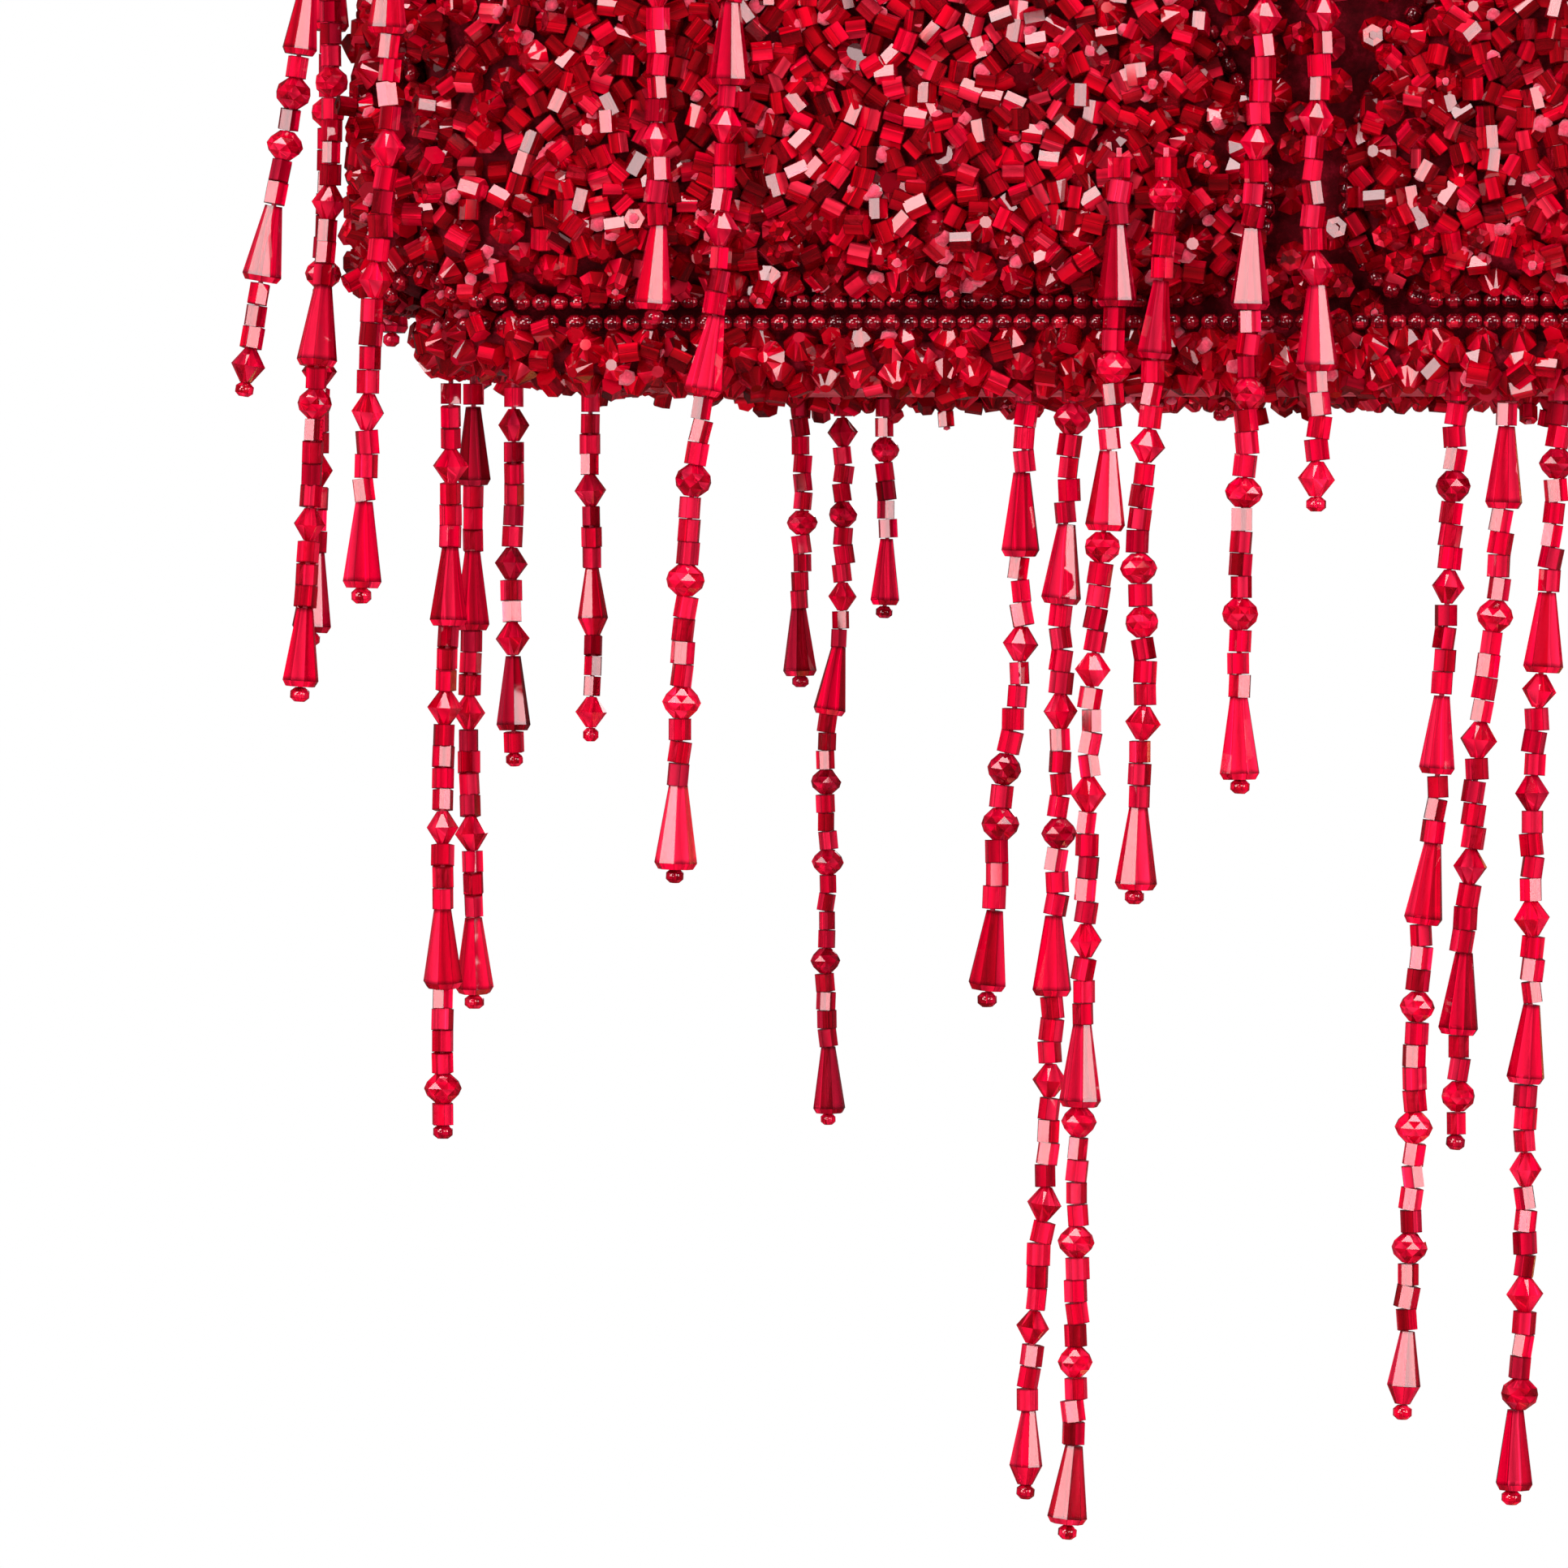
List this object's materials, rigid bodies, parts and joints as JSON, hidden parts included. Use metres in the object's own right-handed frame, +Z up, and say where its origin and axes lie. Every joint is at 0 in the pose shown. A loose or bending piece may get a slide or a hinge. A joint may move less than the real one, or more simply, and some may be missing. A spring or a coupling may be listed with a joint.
{
  "type": "table lamp",
  "caption": "Table lamp: oblong shade of padded arch panels sewn with cut red glass beads, hanging bead fringes, harp with finial, turned brass and mosaic base",
  "frame": {"origin": "middle of the felt pad's underside, where the lamp stands on the table", "axes": "+Z up the lamp pipe, +X along the shade's long side to the right, -Y the front"},
  "size_m": [0.3302, 0.2202, 0.4613],
  "materials": {
    "brass": "aged turned brass, lacquered, darker in the grooves",
    "steel": "plain drawn steel",
    "felt": "pressed wool felt",
    "ballast_iron": "rough casting",
    "bushing": "moulded, matt",
    "mosaic_glass": "red glass pieces set in dark grout on a turned core",
    "liner_board": "insulating board",
    "socket_body": "unglazed white porcelain",
    "knob": "fluted, polished",
    "bulb_glass": "frosted envelope",
    "lining_cloth": "thin satin lining",
    "backing_cloth": "dark red felted cloth",
    "bead_panel": "cloth closely sewn with clear red cut glass beads and sequins",
    "bead_band": "padded cord closely sewn with red glass bicones and hex beads",
    "seed_beads": "rows of small dark red glass seed beads",
    "strand_beads": "clear red cut glass beads strung on thread"
  },
  "bodies": {
    "base": {"felt_pad": "felt", "foot": "brass", "ballast": "ballast_iron", "rod_washer": "steel", "rod_nut": "brass", "lamp_rod": "steel", "cord_bushing": "bushing", "lower_collar": "brass", "urn_core": "mosaic_glass", "upper_collar": "brass", "stem": "brass", "check_ring": "brass", "harp_saddle": "brass", "saddle_posts": "brass", "socket_cap": "brass", "socket_shell": "brass", "socket_liner": "liner_board", "socket_core": "socket_body", "screw_shell": "brass", "centre_contact": "brass"},
    "harp": {"harp": "brass", "harp_stud": "brass"},
    "ferrule_left": {"ferrule_left": "brass"},
    "ferrule_right": {"ferrule_right": "brass"},
    "switch": {"switch_shaft": "steel", "switch_knob": "knob"},
    "bulb": {"bulb_cap": "steel", "bulb_glass": "bulb_glass"},
    "finial": {"finial": "brass"},
    "shade": {"spider": "brass", "frame_rings": "steel", "frame_ribs": "steel", "lining": "lining_cloth", "wall_cloth": "backing_cloth", "dome_cloth": "backing_cloth", "rim_band": "bead_band", "shoulder_band": "bead_band", "crown_band": "bead_band", "piping": "seed_beads", "panel_front_left": "bead_panel", "panel_front_middle": "bead_panel", "panel_front_right": "bead_panel", "panel_right_front": "bead_panel", "panel_right_back": "bead_panel", "panel_back_right": "bead_panel", "panel_back_middle": "bead_panel", "panel_back_left": "bead_panel", "panel_left_back": "bead_panel", "panel_left_front": "bead_panel"},
    "rim_fringe_front_left": {"rim_fringe_front_left": "strand_beads"},
    "rim_fringe_front_middle": {"rim_fringe_front_middle": "strand_beads"},
    "rim_fringe_front_right": {"rim_fringe_front_right": "strand_beads"},
    "rim_fringe_right": {"rim_fringe_right": "strand_beads"},
    "rim_fringe_back": {"rim_fringe_back": "strand_beads"},
    "rim_fringe_left": {"rim_fringe_left": "strand_beads"},
    "low_fringe_front": {"low_fringe_front": "strand_beads"},
    "low_fringe_back": {"low_fringe_back": "strand_beads"},
    "shoulder_fringe_front": {"shoulder_fringe_front": "strand_beads"},
    "shoulder_fringe_right": {"shoulder_fringe_right": "strand_beads"},
    "shoulder_fringe_back": {"shoulder_fringe_back": "strand_beads"},
    "shoulder_fringe_left": {"shoulder_fringe_left": "strand_beads"}
  },
  "joints": [
    {"name": "harp_lift", "type": "slide", "parent": "base", "child": "harp", "axis": [0, 0, 1], "range_m": [0, 0.03]},
    {"name": "ferrule_left_slide", "type": "slide", "parent": "harp", "child": "ferrule_left", "axis": [0, 0, 1], "range_m": [0, 0.014]},
    {"name": "ferrule_right_slide", "type": "slide", "parent": "harp", "child": "ferrule_right", "axis": [0, 0, 1], "range_m": [0, 0.014]},
    {"name": "shade_turn", "type": "hinge", "parent": "harp", "child": "shade", "pos_m": [0, 0, 0.424], "axis": [0, 0, 1], "continuous": true},
    {"name": "finial_unscrew", "type": "slide", "parent": "harp", "child": "finial", "axis": [0, 0, 1], "range_m": [0, 0.016]},
    {"name": "bulb_unscrew", "type": "slide", "parent": "base", "child": "bulb", "axis": [0, 0, 1], "range_m": [0, 0.026]},
    {"name": "switch_turn", "type": "hinge", "parent": "base", "child": "switch", "pos_m": [0, -0.03, 0.297], "axis": [0, -1, 0], "continuous": true},
    {"name": "rim_fringe_front_left_swing", "type": "hinge", "parent": "shade", "child": "rim_fringe_front_left", "pos_m": [0, -0.0998, 0.2694], "axis": [-1, 0, 0], "range_deg": [-8, 12]},
    {"name": "rim_fringe_front_middle_swing", "type": "hinge", "parent": "shade", "child": "rim_fringe_front_middle", "pos_m": [0, -0.0998, 0.2694], "axis": [-1, 0, 0], "range_deg": [-8, 12]},
    {"name": "rim_fringe_front_right_swing", "type": "hinge", "parent": "shade", "child": "rim_fringe_front_right", "pos_m": [0, -0.0998, 0.2694], "axis": [-1, 0, 0], "range_deg": [-8, 12]},
    {"name": "rim_fringe_right_swing", "type": "hinge", "parent": "shade", "child": "rim_fringe_right", "pos_m": [0.1438, 0, 0.2694], "axis": [0, -1, 0], "range_deg": [-8, 12]},
    {"name": "rim_fringe_back_swing", "type": "hinge", "parent": "shade", "child": "rim_fringe_back", "pos_m": [0, 0.0998, 0.2694], "axis": [1, 0, 0], "range_deg": [-8, 12]},
    {"name": "rim_fringe_left_swing", "type": "hinge", "parent": "shade", "child": "rim_fringe_left", "pos_m": [-0.1438, 0, 0.2694], "axis": [0, 1, 0], "range_deg": [-8, 12]},
    {"name": "low_fringe_front_swing", "type": "hinge", "parent": "shade", "child": "low_fringe_front", "pos_m": [0, -0.1078, 0.293], "axis": [-1, 0, 0], "range_deg": [0, 12]},
    {"name": "low_fringe_back_swing", "type": "hinge", "parent": "shade", "child": "low_fringe_back", "pos_m": [0, 0.1078, 0.293], "axis": [1, 0, 0], "range_deg": [0, 12]},
    {"name": "shoulder_fringe_front_swing", "type": "hinge", "parent": "shade", "child": "shoulder_fringe_front", "pos_m": [0, -0.1076, 0.3568], "axis": [-1, 0, 0], "range_deg": [0, 10]},
    {"name": "shoulder_fringe_right_swing", "type": "hinge", "parent": "shade", "child": "shoulder_fringe_right", "pos_m": [0.1576, 0, 0.3568], "axis": [0, -1, 0], "range_deg": [0, 10]},
    {"name": "shoulder_fringe_back_swing", "type": "hinge", "parent": "shade", "child": "shoulder_fringe_back", "pos_m": [0, 0.1076, 0.3568], "axis": [1, 0, 0], "range_deg": [0, 10]},
    {"name": "shoulder_fringe_left_swing", "type": "hinge", "parent": "shade", "child": "shoulder_fringe_left", "pos_m": [-0.1576, 0, 0.3568], "axis": [0, 1, 0], "range_deg": [0, 10]}
  ]
}
